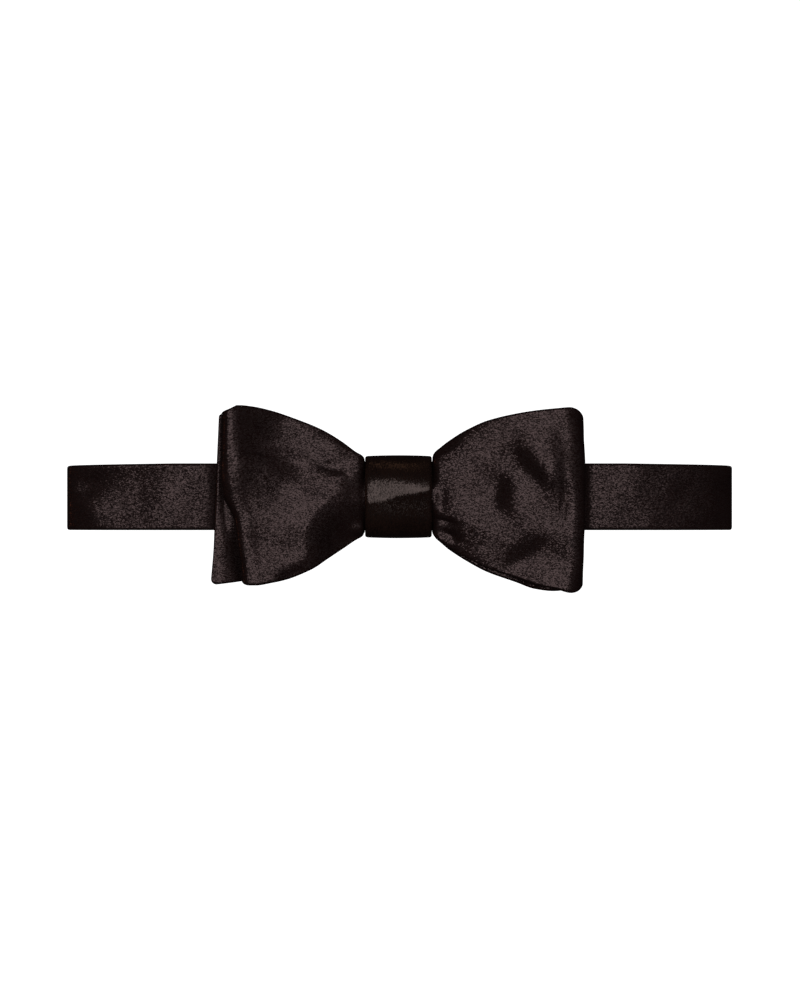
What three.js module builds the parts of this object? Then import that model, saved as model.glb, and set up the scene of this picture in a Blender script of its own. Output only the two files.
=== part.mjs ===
// A self-tied batwing bow tie on its closed neckband, lying on its back.
// Millimetres. X runs left to right along the bow, Y up the bow, Z up from the surface.
// The origin is the middle of the flat back stretch, on the surface.
import * as THREE from "three";

// Neckband: one closed strap, laid as a long low loop
const LOOP_WIDTH = 200.8; // over both side bends
const LOOP_HEIGHT = 18; // surface to the crests of the front stretch
const FRONT_SHOULDER = 33; // a crest to the outside of its side bend
const BACK_BEND = 13.8; // end of the flat back stretch to the outside of a side bend
const BAND_WIDTH = 20.1; // at the bow
const BAND_END_WIDTH = 19.4; // round the side bends and along the back
const BAND_THICKNESS = 1.6;
const NECK_GAP = 10; // open height between the back stretch and the knot

// Cloth of the bow, and the gap between neighbouring pieces
const CLOTH = 1.5;
const CLEARANCE = 0.35;

// Knot: a band of cloth wrapped round the neckband and the gathered bow
const KNOT_WIDTH = 20;
const KNOT_OFFSET = -0.3; // its middle, left of the loop's middle
const KNOT_WALL = 1.2;
const KNOT_EASE = 0.85; // room beside the gathered cloth, for the knot's rounded corners
const KNOT_BULGE = 0.8; // front of the knot, middle over edges
const KNOT_PINCH = 0.25; // top and bottom of the knot, middle over edges
const KNOT_BACK_RADIUS = 1.9;
const KNOT_ARCH_POWER = 2.9; // 2 makes the front of the knot an ellipse, more makes it squarer

// Bow: sizes of its front faces, from the knot's edges and the bow's middle line
const LEFT_REACH = 42.2; // to the fold of the front loop, along its top
const LEFT_UP = 27.3;
const LEFT_DOWN = 26.7;
const RIGHT_REACH = 44.6; // to the edge of the front blade
const RIGHT_UP = 26.7;
const RIGHT_DOWN = 28.8;
const BACK_BLADE_REACH = 46.2; // to the edge of the left back blade, along its foot
const BACK_LOOP_REACH = 44.3; // to the fold of the right back loop
const GATHER_INSET = 0.4; // gathered cloth inside the knot, each edge within the neckband's
const NECK_FLARE = 1.4; // length over which the gathered cloth spreads beside the knot
const FOLD_HEIGHT = 7.8; // between the two walls of a loop, at its fold
const FOLD_TUCK = 2; // how far the round of a loop lies within its front corners
const TOP_TUCK_POWER = 0.5; // below 1 the tuck comes early in the round, above 1 late
const FOOT_TUCK_POWER = 5;
const BLADE_LIFT = 0.4; // tips of the bow, over the neckband
const GATHER_CROWN = 4.2; // middle of the gathered cloth over its edges
const CROWN_POWER = 1.8; // the more, the sooner the crown falls away from its middle
const PUFF = 1.8; // front blade over the back loop, halfway along
const SPREAD_POWER = 1.75; // how early the gathers open out on the way to the tips
const DENT_START = 0.17; // share of the wing beside the knot over which dents fade in
const DENT_DEPTH = 1.6;
const FRONT_TOP_RADIUS = 3.2; // corners of the front blade
const FRONT_FOOT_RADIUS = 2.6;
const BACK_TOP_RADIUS = 1;
const BACK_FOOT_RADIUS = 1.9;
const TAIL_GAP = 1; // between the two loop ends hidden inside the knot

// Outlines: out is a share of the layer's reach, up and down are shares of its wing's sizes
const LEFT_LOOP_OUTLINE = [
  { out: 0, up: 0.425, down: 0.43 },
  { out: 0.07, up: 0.476, down: 0.478 },
  { out: 0.174, up: 0.596, down: 0.571 },
  { out: 0.313, up: 0.738, down: 0.69 },
  { out: 0.452, up: 0.836, down: 0.81 },
  { out: 0.66, up: 0.945, down: 0.929 },
  { out: 0.8, up: 0.989, down: 0.97 },
  { out: 0.88, up: 1, down: 0.99 },
  { out: 1, up: 1, down: 1 },
];
const RIGHT_BLADE_OUTLINE = [
  { out: 0, up: 0.45, down: 0.372 },
  { out: 0.054, up: 0.52, down: 0.434 },
  { out: 0.12, up: 0.61, down: 0.517 },
  { out: 0.2525, up: 0.755, down: 0.641 },
  { out: 0.385, up: 0.855, down: 0.745 },
  { out: 0.583, up: 0.933, down: 0.852 },
  { out: 0.716, up: 0.967, down: 0.921 },
  { out: 0.848, up: 0.989, down: 0.962 },
  { out: 0.933, up: 1, down: 0.996 },
  { out: 1, up: 1, down: 1 },
];
const RIGHT_LOOP_OUTLINE = [
  { out: 0, up: 0.43, down: 0.405 },
  { out: 0.054, up: 0.49, down: 0.469 },
  { out: 0.12, up: 0.58, down: 0.552 },
  { out: 0.2525, up: 0.725, down: 0.679 },
  { out: 0.385, up: 0.825, down: 0.783 },
  { out: 0.583, up: 0.905, down: 0.89 },
  { out: 0.716, up: 0.94, down: 0.957 },
  { out: 0.848, up: 0.955, down: 0.979 },
  { out: 1, up: 0.91, down: 0.95 },
];
const LEFT_BLADE_OUTLINE = [
  { out: 0, up: 0.41, down: 0.42 },
  { out: 0.12, up: 0.5, down: 0.5 },
  { out: 0.3, up: 0.67, down: 0.65 },
  { out: 0.5, up: 0.79, down: 0.79 },
  { out: 0.75, up: 0.88, down: 0.91 },
  { out: 1, up: 0.91, down: 0.962 },
];

// Free edges: across runs from -1 at the foot to 1 at the top, out is a share of the reach
const LEFT_FOLD_EDGE = [
  { across: -1, out: 0.842 },
  { across: -0.6, out: 0.882 },
  { across: -0.24, out: 0.912 },
  { across: -0.1, out: 0.955 },
  { across: 0, out: 0.983 },
  { across: 1, out: 1 },
];
const LEFT_BLADE_EDGE = [
  { across: -1, out: 1 },
  { across: -0.6, out: 0.983 },
  { across: 0, out: 0.972 },
  { across: 1, out: 0.95 },
];
const RIGHT_BLADE_EDGE = [
  { across: -1, out: 0.994 },
  { across: 0, out: 1 },
  { across: 1, out: 0.991 },
];
const RIGHT_FOLD_EDGE = [
  { across: -1, out: 0.965 },
  { across: -0.45, out: 0.998 },
  { across: 0.2, out: 1 },
  { across: 1, out: 0.97 },
];

// Dents and creases of the front faces: out and rise place the middle as shares of the wing's
// reach and height, length and width are shares of the reach, turn is in degrees from X,
// depth is a share of DENT_DEPTH.
const LEFT_DENTS = [
  { name: "top corner", out: 0.92, rise: 1, length: 0.36, width: 0.2, turn: 0, depth: 0.6 },
  { name: "upper dent", out: 0.8, rise: 0.42, length: 0.16, width: 0.08, turn: 43, depth: 0.4 },
  { name: "knot pleat", out: 0.2, rise: 0.29, length: 0.12, width: 0.06, turn: -27, depth: 0.3 },
  { name: "lower fall", out: 0.28, rise: -0.6, length: 0.3, width: 0.17, turn: -35, depth: 0.9 },
];
const RIGHT_DENTS = [
  { name: "middle dent", out: 0.5, rise: 0.085, length: 0.11, width: 0.075, turn: 90, depth: 0.6 },
  { name: "upper dent", out: 0.675, rise: 0.335, length: 0.14, width: 0.065, turn: -52, depth: 0.5 },
  { name: "lower dent", out: 0.655, rise: -0.47, length: 0.16, width: 0.065, turn: 32, depth: 0.5 },
  { name: "knot pleat", out: 0.12, rise: -0.26, length: 0.12, width: 0.06, turn: -22, depth: 0.25 },
];
const KNOT_TUCK = { out: 0.15, rise: 0.36, length: 0.3, width: 0.09, turn: -12, depth: 0.3 };

// Fineness of the faceted cloth
const FRONT_STEPS = 36;
const BEND_STEPS = 11;
const BACK_STEPS = 10;
const BAND_ACROSS_STEPS = 2;
const WING_STEPS = 12;
const FOLD_STEPS = 8;
const GATHER_STEPS = 4;
const ACROSS_STEPS = 12;
const KNOT_SIDE_STEPS = 3;
const KNOT_ARCH_STEPS = 24;
const KNOT_ACROSS_STEPS = 8;

const clamp = THREE.MathUtils.clamp;
const mix = THREE.MathUtils.lerp;
const ease = (t) => THREE.MathUtils.smoothstep(t, 0, 1);

// Evenly spaced values from one number to another, both included.
function steps(from, to, count) {
  return Array.from({ length: count + 1 }, (_, i) => mix(from, to, i / count));
}

// Smooth curve through a table's rows, read from column key to column value.
function curveThrough(table, key, value) {
  const slope = (a, b) => (b[value] - a[value]) / (b[key] - a[key]);
  const tangents = table.map((row, i) => {
    const before = i > 0 ? slope(table[i - 1], row) : null;
    const after = i < table.length - 1 ? slope(row, table[i + 1]) : null;
    if (before === null || after === null) return before ?? after;
    return before * after <= 0 ? 0 : (2 * before * after) / (before + after);
  });
  return (at) => {
    const t = clamp(at, table[0][key], table[table.length - 1][key]);
    const i = Math.max(1, table.findIndex((row) => row[key] >= t)) - 1;
    const [a, b] = [table[i], table[i + 1]];
    const span = b[key] - a[key];
    const u = (t - a[key]) / span;
    return (
      a[value] * (1 + 2 * u) * (1 - u) ** 2 +
      b[value] * (3 - 2 * u) * u ** 2 +
      tangents[i] * span * u * (1 - u) ** 2 -
      tangents[i + 1] * span * u ** 2 * (1 - u)
    );
  };
}

// How far a rounded corner draws an edge in, at a distance from the free end.
function cornerPull(radius, distance) {
  const inside = Math.max(0, radius - distance);
  return radius - Math.sqrt(radius ** 2 - inside ** 2);
}

// Depth of an oval dent at a point.
function dentDepth(dent, middle, size, x, y) {
  const turn = THREE.MathUtils.degToRad(dent.turn);
  const along = (x - middle.x) * Math.cos(turn) + (y - middle.y) * Math.sin(turn);
  const aside = (y - middle.y) * Math.cos(turn) - (x - middle.x) * Math.sin(turn);
  const reach = (along / (dent.length * size)) ** 2 + (aside / (dent.width * size)) ** 2;
  return dent.depth * DENT_DEPTH * Math.exp(-reach);
}

// A wall of cloth: a grid of points on its middle surface, thickened to both sides.
// A ring joins its last row of points to its first.
function clothGeometry(grid, thickness, ring = false) {
  const rows = grid.length;
  const columns = grid[0].length;
  const rowAt = (i) => grid[ring ? (i + rows) % rows : clamp(i, 0, rows - 1)];
  const positions = [];
  for (const side of [1, -1]) {
    for (let i = 0; i < rows; i++) {
      for (let j = 0; j < columns; j++) {
        const alongRows = rowAt(i + 1)[j].clone().sub(rowAt(i - 1)[j]);
        const acrossRow = grid[i][Math.min(j + 1, columns - 1)].clone();
        acrossRow.sub(grid[i][Math.max(j - 1, 0)]);
        const normal = alongRows.cross(acrossRow).normalize();
        const point = grid[i][j].clone().addScaledVector(normal, (side * thickness) / 2);
        positions.push(point.x, point.y, point.z);
      }
    }
  }
  const front = (i, j) => (i % rows) * columns + j;
  const back = (i, j) => rows * columns + front(i, j);
  const index = [];
  const quad = (a, b, c, d) => index.push(a, b, c, a, c, d);
  const lastRow = ring ? rows : rows - 1;
  for (let i = 0; i < lastRow; i++) {
    for (let j = 0; j < columns - 1; j++) {
      quad(front(i, j), front(i + 1, j), front(i + 1, j + 1), front(i, j + 1));
      quad(back(i, j), back(i, j + 1), back(i + 1, j + 1), back(i + 1, j));
    }
    quad(back(i, 0), back(i + 1, 0), front(i + 1, 0), front(i, 0));
    const edge = columns - 1;
    quad(front(i, edge), front(i + 1, edge), back(i + 1, edge), back(i, edge));
  }
  if (!ring) {
    for (let j = 0; j < columns - 1; j++) {
      const end = rows - 1;
      quad(back(end, j), back(end, j + 1), front(end, j + 1), front(end, j));
      quad(front(0, j), front(0, j + 1), back(0, j + 1), back(0, j));
    }
  }
  const geometry = new THREE.BufferGeometry();
  geometry.setAttribute("position", new THREE.Float32BufferAttribute(positions, 3));
  geometry.setIndex(index);
  geometry.computeVertexNormals();
  return geometry;
}

// Heights of the middle surfaces, from the surface up
const knotHalf = KNOT_WIDTH / 2;
const leftEdge = KNOT_OFFSET - knotHalf;
const rightEdge = KNOT_OFFSET + knotHalf;
const knotHeight = BAND_WIDTH + 2 * (KNOT_WALL + CLEARANCE + KNOT_EASE);
const knotBackHeight = BAND_THICKNESS + NECK_GAP + KNOT_WALL / 2;
const bandInKnot = knotBackHeight + KNOT_WALL / 2 + CLEARANCE + BAND_THICKNESS / 2;
const bandCrest = LOOP_HEIGHT - BAND_THICKNESS / 2;
const crestAt = LOOP_WIDTH / 2 - FRONT_SHOULDER;
const sideAt = LOOP_WIDTH / 2 - BAND_THICKNESS / 2;
const layerStep = CLOTH + CLEARANCE;
const gatheredHalf = BAND_WIDTH / 2 - GATHER_INSET;

// Front stretch of the neckband: level inside the knot, rising to a crest on each side.
function bandHeight(x) {
  const level = knotHalf + Math.abs(KNOT_OFFSET);
  const along = clamp((Math.abs(x) - level) / (crestAt - level), 0, 1);
  return mix(bandInKnot, bandCrest, ease(along));
}

// Share of the way from the knot's edge to the tip of the wing on that side.
function shareOut(x) {
  const wing = x < KNOT_OFFSET ? LEFT_REACH : RIGHT_REACH;
  return clamp((Math.abs(x - KNOT_OFFSET) - knotHalf) / wing, 0, 1);
}

// Level 1 lies on the neckband, level 3 is the front face. The left loop is open between
// levels 2 and 3, the right loop between levels 1 and 2.
function layerHeight(level, x, y) {
  const share = shareOut(x);
  const isLeft = x < KNOT_OFFSET;
  const hollow = (FOLD_HEIGHT - layerStep) * Math.sin((share * Math.PI) / 2);
  const puff = isLeft ? 0 : PUFF * Math.sin(share * Math.PI);
  const spread = 1 - (1 - share) ** SPREAD_POWER;
  const half = mix(BAND_WIDTH, LEFT_UP + LEFT_DOWN, spread) / 2;
  const rounded = Math.max(0, 1 - (y / half) ** 2) ** CROWN_POWER;
  const crown = GATHER_CROWN * (1 - share) ** 2 * rounded;
  const first = bandHeight(x) + (BAND_THICKNESS + CLOTH) / 2 + CLEARANCE + BLADE_LIFT * share ** 2;
  const heights = {
    1: first,
    2: first + layerStep + (isLeft ? 0 : hollow),
    3: first + 2 * layerStep + hollow + puff,
  };
  return heights[level] + (crown * level) / 3;
}

function dentsAt(x, y) {
  const isLeft = x < KNOT_OFFSET;
  const edge = isLeft ? leftEdge : rightEdge;
  const reach = isLeft ? LEFT_REACH : RIGHT_REACH;
  const up = isLeft ? LEFT_UP : RIGHT_UP;
  const down = isLeft ? LEFT_DOWN : RIGHT_DOWN;
  const room = ease(shareOut(x) / DENT_START);
  return (isLeft ? LEFT_DENTS : RIGHT_DENTS).reduce((sum, dent) => {
    const middle = {
      x: edge + (isLeft ? -1 : 1) * dent.out * reach,
      y: dent.rise * (dent.rise > 0 ? up : down),
    };
    return sum + room * dentDepth(dent, middle, reach, x, y);
  }, 0);
}

// One layer of a wing. Its point function gives the middle surface at a share of the way out
// and at a place across the cloth, from -1 at the foot to 1 at the top.
function wingLayer({ side, level, reach, up, down, outline, edge, fullness = 1, corners }) {
  const start = side < 0 ? leftEdge : rightEdge;
  const upShare = curveThrough(outline, "out", "up");
  const downShare = curveThrough(outline, "out", "down");
  const edgeShare = curveThrough(edge, "across", "out");
  const reachAt = (across) => reach * edgeShare(across);
  const yAt = (out, across) => {
    const open = ease((out * reach - CLEARANCE) / NECK_FLARE);
    const full = across > 0 ? upShare(out) * up : downShare(out) * down;
    const radius = across > 0 ? corners?.top : corners?.foot;
    const pull = radius ? cornerPull(radius, (1 - out) * reach) : 0;
    return across * mix(gatheredHalf, full * fullness - pull, open);
  };
  const heightAt = (x, y) => layerHeight(level, x, y) - (level === 3 ? dentsAt(x, y) : 0);
  const point = (out, across) => {
    const x = start + side * out * reachAt(across);
    const y = yAt(out, across);
    return new THREE.Vector3(x, y, heightAt(x, y));
  };
  return { side, start, reachAt, yAt, heightAt, point };
}

const leftFront = wingLayer({
  side: -1,
  level: 3,
  reach: LEFT_REACH,
  up: LEFT_UP,
  down: LEFT_DOWN,
  outline: LEFT_LOOP_OUTLINE,
  edge: LEFT_FOLD_EDGE,
});
const leftInner = wingLayer({
  side: -1,
  level: 2,
  reach: LEFT_REACH,
  up: LEFT_UP,
  down: LEFT_DOWN,
  outline: LEFT_LOOP_OUTLINE,
  edge: LEFT_FOLD_EDGE,
  fullness: 0.93,
});
const leftBack = wingLayer({
  side: -1,
  level: 1,
  reach: BACK_BLADE_REACH,
  up: LEFT_UP,
  down: LEFT_DOWN,
  outline: LEFT_BLADE_OUTLINE,
  edge: LEFT_BLADE_EDGE,
  corners: { top: BACK_TOP_RADIUS, foot: BACK_FOOT_RADIUS },
});
const rightFront = wingLayer({
  side: 1,
  level: 3,
  reach: RIGHT_REACH,
  up: RIGHT_UP,
  down: RIGHT_DOWN,
  outline: RIGHT_BLADE_OUTLINE,
  edge: RIGHT_BLADE_EDGE,
  corners: { top: FRONT_TOP_RADIUS, foot: FRONT_FOOT_RADIUS },
});
const rightInner = wingLayer({
  side: 1,
  level: 2,
  reach: BACK_LOOP_REACH,
  up: RIGHT_UP,
  down: RIGHT_DOWN,
  outline: RIGHT_LOOP_OUTLINE,
  edge: RIGHT_FOLD_EDGE,
});
const rightBack = wingLayer({
  side: 1,
  level: 1,
  reach: BACK_LOOP_REACH,
  up: RIGHT_UP,
  down: RIGHT_DOWN,
  outline: RIGHT_LOOP_OUTLINE,
  edge: RIGHT_FOLD_EDGE,
  fullness: 0.95,
});

// The round of a loop, from its lower wall to its upper one.
function loopFold(lower, upper) {
  const { side, start, reachAt } = upper;
  const foldAt = (across) => {
    const outer = reachAt(across);
    const out = 1 - FOLD_HEIGHT / 2 / outer;
    const low = lower.point(out, across);
    const high = upper.point(out, across);
    return { outer, out, low, high, radius: (high.z - low.z) / 2 };
  };
  const point = (turn, across) => {
    const { outer, low, high, radius } = foldAt(across);
    const depth = FOLD_HEIGHT / 2;
    const power = across > 0 ? TOP_TUCK_POWER : FOOT_TUCK_POWER;
    const tuck = FOLD_TUCK * across * Math.max(0, Math.cos(turn)) ** power;
    return new THREE.Vector3(
      start + side * (outer - depth + depth * Math.cos(turn)),
      mix(low.y, high.y, ease((1 + Math.sin(turn)) / 2)) - tuck,
      (low.z + high.z) / 2 + radius * Math.sin(turn),
    );
  };
  return { foldAt, point };
}

const leftFold = loopFold(leftInner, leftFront);
const rightFold = loopFold(rightBack, rightInner);

const acrossSteps = steps(-1, 1, ACROSS_STEPS);
const rowOf = (pointAt) => acrossSteps.map(pointAt);

// Shares of the way out, close together where the cloth flares beside the knot.
function outShares(reach) {
  const start = CLEARANCE / reach;
  const flared = start + NECK_FLARE / reach;
  return [0, start, (start + flared) / 2, ...steps(flared, 1, WING_STEPS)];
}

// Rows of a loop's wall, from the knot to the start of its fold.
function wallRows(layer, fold) {
  return outShares(layer.reachAt(0)).map((share) =>
    rowOf((across) => layer.point(share * fold.foldAt(across).out, across)),
  );
}

const foldRows = (fold) =>
  steps(-Math.PI / 2, Math.PI / 2, FOLD_STEPS)
    .slice(1, -1)
    .map((turn) => rowOf((across) => fold.point(turn, across)));

// Rows of a blade, from the knot to its free end, closer together at the rounded corners.
function bladeRows(layer, pointAt, radius) {
  const reach = layer.reachAt(0);
  const shares = outShares(reach).filter((share) => (1 - share) * reach > radius);
  const corner = [1, 0.6, 0.3, 0.1, 0].map((share) => 1 - (share * radius) / reach);
  return [...shares, ...corner].map((share) => rowOf((across) => pointAt(share, across)));
}

// Rows of the gathered cloth inside the knot, between two places along X.
function gatheredRows(level, from, to) {
  return steps(from, to, GATHER_STEPS).map((x) =>
    rowOf((across) => {
      const y = across * gatheredHalf;
      return new THREE.Vector3(x, y, layerHeight(level, x, y));
    }),
  );
}

// The front blade bends down over the round of the loop behind it.
function frontBladePoint(out, across) {
  const point = rightFront.point(out, across);
  const bendAt = rightEdge + rightFold.foldAt(across).outer - FOLD_HEIGHT / 2;
  const past = point.x - bendAt;
  if (past <= 0) return point;
  const radius = FOLD_HEIGHT / 2 + layerStep;
  const flat = rightFront.heightAt(bendAt, point.y);
  return point.setZ(flat - radius + Math.sqrt(radius ** 2 - past ** 2));
}

function frontBow() {
  return clothGeometry(
    [
      ...gatheredRows(2, KNOT_OFFSET - TAIL_GAP / 2, leftEdge).slice(0, -1),
      ...wallRows(leftInner, leftFold),
      ...foldRows(leftFold),
      ...wallRows(leftFront, leftFold).reverse(),
      ...gatheredRows(3, leftEdge, rightEdge).slice(1, -1),
      ...bladeRows(rightFront, frontBladePoint, FRONT_TOP_RADIUS),
    ],
    CLOTH,
  );
}

function backBow() {
  return clothGeometry(
    [
      ...bladeRows(leftBack, leftBack.point, BACK_FOOT_RADIUS).reverse(),
      ...gatheredRows(1, leftEdge, rightEdge).slice(1, -1),
      ...wallRows(rightBack, rightFold),
      ...foldRows(rightFold),
      ...wallRows(rightInner, rightFold).reverse(),
      ...gatheredRows(2, rightEdge, KNOT_OFFSET + TAIL_GAP / 2).slice(1),
    ],
    CLOTH,
  );
}

// Neckband: clockwise round the loop as seen from its foot, starting at the left crest.
function neckband() {
  const sideHeight = LOOP_HEIGHT / 2;
  const backHeight = BAND_THICKNESS / 2;
  const flatEnd = LOOP_WIDTH / 2 - BACK_BEND;
  const front = steps(-crestAt, crestAt, FRONT_STEPS).map((x) => [x, bandHeight(x), 0]);
  const rightShoulder = steps(0, Math.PI / 2, BEND_STEPS).map((turn) => [
    crestAt + (sideAt - crestAt) * Math.sin(turn),
    sideHeight + (bandCrest - sideHeight) * Math.cos(turn),
    turn / (Math.PI / 2),
  ]);
  const rightHeel = steps(Math.PI / 2, 0, BEND_STEPS).map((turn) => [
    flatEnd + (sideAt - flatEnd) * Math.sin(turn),
    sideHeight - (sideHeight - backHeight) * Math.cos(turn),
    1,
  ]);
  const right = [...rightShoulder.slice(1, -1), ...rightHeel];
  const left = right.map(([x, z, taper]) => [-x, z, taper]).reverse();
  const back = steps(flatEnd, -flatEnd, BACK_STEPS).map((x) => [x, backHeight, 1]);
  const path = [...front, ...right, ...back.slice(1, -1), ...left];
  const grid = path.map(([x, z, taper]) => {
    const top = BAND_WIDTH / 2 - (BAND_WIDTH - BAND_END_WIDTH) * taper;
    return steps(-BAND_WIDTH / 2, top, BAND_ACROSS_STEPS).map((y) => new THREE.Vector3(x, y, z));
  });
  return clothGeometry(grid, BAND_THICKNESS, true);
}

// Knot: its wall runs up the top side, over the front and down the foot, then along the back.
function knot() {
  const half = knotHeight / 2 - KNOT_WALL / 2;
  const shoulder = layerHeight(2, KNOT_OFFSET, BAND_WIDTH / 2);
  const clothTop = layerHeight(3, KNOT_OFFSET, 0) + CLOTH / 2;
  const crest = clothTop + CLEARANCE + KNOT_WALL / 2;
  const archPower = 2 / KNOT_ARCH_POWER;
  const lowCorner = knotBackHeight + KNOT_BACK_RADIUS;
  const arch = steps(0, Math.PI, KNOT_ARCH_STEPS).map((turn) => [
    Math.sign(Math.cos(turn)) * half * Math.abs(Math.cos(turn)) ** archPower,
    shoulder + (crest - shoulder) * Math.sin(turn) ** archPower,
  ]);
  const corner = steps(0, Math.PI / 2, KNOT_SIDE_STEPS).map((turn) => [
    half - KNOT_BACK_RADIUS + KNOT_BACK_RADIUS * Math.sin(turn),
    lowCorner - KNOT_BACK_RADIUS * Math.cos(turn),
  ]);
  const footCorner = corner.map(([y, z]) => [-y, z]).reverse();
  const path = [...corner, ...arch.slice(0, -1), [-half, shoulder], ...footCorner, [0, knotBackHeight]];
  const tuckMiddle = {
    x: KNOT_OFFSET + KNOT_TUCK.out * KNOT_WIDTH,
    y: (KNOT_TUCK.rise * knotHeight) / 2,
  };
  const grid = path.map(([y, z]) =>
    steps(-1, 1, KNOT_ACROSS_STEPS).map((across) => {
      const x = KNOT_OFFSET + across * knotHalf;
      const swell = 1 - across ** 2;
      const frontShare = clamp((z - shoulder) / (crest - shoulder), 0, 1);
      const tuck = dentDepth(KNOT_TUCK, tuckMiddle, KNOT_WIDTH, x, y);
      return new THREE.Vector3(
        x,
        y * (1 + ((swell - 1) * KNOT_PINCH) / half),
        z + frontShare * (KNOT_BULGE * swell - tuck),
      );
    }),
  );
  return clothGeometry(grid, KNOT_WALL, true);
}

const satin = { color: 0x2d2627, roughness: 0.42, metalness: 0 };
const pieces = [
  { name: "neckband", geometry: neckband() },
  { name: "back_bow", geometry: backBow() },
  { name: "front_bow", geometry: frontBow() },
  { name: "knot", geometry: knot() },
];

const group = new THREE.Group();
for (const { name, geometry } of pieces) {
  const mesh = new THREE.Mesh(geometry, new THREE.MeshStandardMaterial(satin));
  mesh.name = name;
  group.add(mesh);
}

export default group;
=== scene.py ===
import math

import bpy
import numpy as np
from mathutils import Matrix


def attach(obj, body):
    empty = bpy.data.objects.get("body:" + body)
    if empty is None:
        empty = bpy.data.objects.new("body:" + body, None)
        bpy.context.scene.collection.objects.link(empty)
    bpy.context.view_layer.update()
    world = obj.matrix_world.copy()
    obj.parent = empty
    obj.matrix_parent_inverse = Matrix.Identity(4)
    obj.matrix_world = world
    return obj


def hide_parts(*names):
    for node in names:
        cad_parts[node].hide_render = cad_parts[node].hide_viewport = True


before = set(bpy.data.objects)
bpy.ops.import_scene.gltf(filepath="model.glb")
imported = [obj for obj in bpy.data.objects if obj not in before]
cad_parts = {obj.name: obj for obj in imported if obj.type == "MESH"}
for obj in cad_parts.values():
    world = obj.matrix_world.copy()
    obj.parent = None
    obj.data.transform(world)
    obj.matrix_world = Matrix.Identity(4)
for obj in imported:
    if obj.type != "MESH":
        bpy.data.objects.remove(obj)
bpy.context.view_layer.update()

MM = 0.001

# Sizes below are in millimetres. They repeat the part's own, apart from a shorter NECK_FLARE and
# a few shares at the foot in LEFT_BLADE_OUTLINE, LEFT_FOLD_EDGE and RIGHT_BLADE_EDGE.
LOOP_WIDTH = 200.8
LOOP_HEIGHT = 18
FRONT_SHOULDER = 33
BACK_BEND = 13.8
BAND_WIDTH = 20.1
BAND_END_WIDTH = 19.4
BAND_THICKNESS = 1.6
NECK_GAP = 10
CLOTH = 1.5
CLEARANCE = 0.35

KNOT_WIDTH = 20
KNOT_OFFSET = -0.3
KNOT_WALL = 1.2
KNOT_EASE = 0.85
KNOT_BULGE = 0.8
KNOT_PINCH = 0.25
KNOT_BACK_RADIUS = 1.9
KNOT_ARCH_POWER = 2.9

LEFT_REACH = 42.2
LEFT_UP = 27.3
LEFT_DOWN = 26.7
RIGHT_REACH = 44.6
RIGHT_UP = 26.7
RIGHT_DOWN = 28.8
BACK_BLADE_REACH = 46.2
BACK_LOOP_REACH = 44.3
GATHER_INSET = 0.4
NECK_FLARE = 0.9
FOLD_HEIGHT = 7.8
FOLD_TUCK = 2
TOP_TUCK_POWER = 0.5
FOOT_TUCK_POWER = 5
BLADE_LIFT = 0.4
GATHER_CROWN = 4.2
CROWN_POWER = 1.8
PUFF = 1.8
SPREAD_POWER = 1.75
LEFT_INNER_FULLNESS = 0.93  # height of the left loop's inner wall, as a share of its outline
RIGHT_BACK_FULLNESS = 0.95  # the same for the right loop's back wall
FRONT_CORNERS = (3.2, 2.6)  # radii at the top and at the foot
BACK_CORNERS = (1, 1.9)
TAIL_GAP = 1

# Outlines: (share of the reach, share of the wing's upper size, share of its lower size)
LEFT_LOOP_OUTLINE = [
    (0, 0.425, 0.43),
    (0.07, 0.476, 0.478),
    (0.174, 0.596, 0.571),
    (0.313, 0.738, 0.69),
    (0.452, 0.836, 0.81),
    (0.66, 0.945, 0.929),
    (0.8, 0.989, 0.97),
    (0.88, 1, 0.99),
    (1, 1, 1),
]
RIGHT_BLADE_OUTLINE = [
    (0, 0.45, 0.372),
    (0.054, 0.52, 0.434),
    (0.12, 0.61, 0.517),
    (0.2525, 0.755, 0.641),
    (0.385, 0.855, 0.745),
    (0.583, 0.933, 0.852),
    (0.716, 0.967, 0.921),
    (0.848, 0.989, 0.962),
    (0.933, 1, 0.996),
    (1, 1, 1),
]
RIGHT_LOOP_OUTLINE = [
    (0, 0.43, 0.405),
    (0.054, 0.49, 0.469),
    (0.12, 0.58, 0.552),
    (0.2525, 0.725, 0.679),
    (0.385, 0.825, 0.783),
    (0.583, 0.905, 0.89),
    (0.716, 0.94, 0.957),
    (0.848, 0.955, 0.979),
    (1, 0.91, 0.95),
]
LEFT_BLADE_OUTLINE = [
    (0, 0.41, 0.42),
    (0.12, 0.5, 0.5),
    (0.3, 0.67, 0.65),
    (0.5, 0.79, 0.79),
    (0.75, 0.88, 0.935),
    (1, 0.91, 0.995),
]

# Free edges: (place across, from -1 at the foot to 1 at the top; share of the reach)
LEFT_FOLD_EDGE = [
    (-1, 0.852),
    (-0.6, 0.882),
    (-0.24, 0.912),
    (-0.1, 0.955),
    (0, 0.983),
    (1, 1),
]
LEFT_BLADE_EDGE = [(-1, 1), (-0.6, 0.983), (0, 0.972), (1, 0.95)]
RIGHT_BLADE_EDGE = [(-1, 0.986), (0, 1), (1, 0.991)]
RIGHT_FOLD_EDGE = [(-1, 0.965), (-0.45, 0.998), (0.2, 1), (1, 0.97)]

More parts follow.
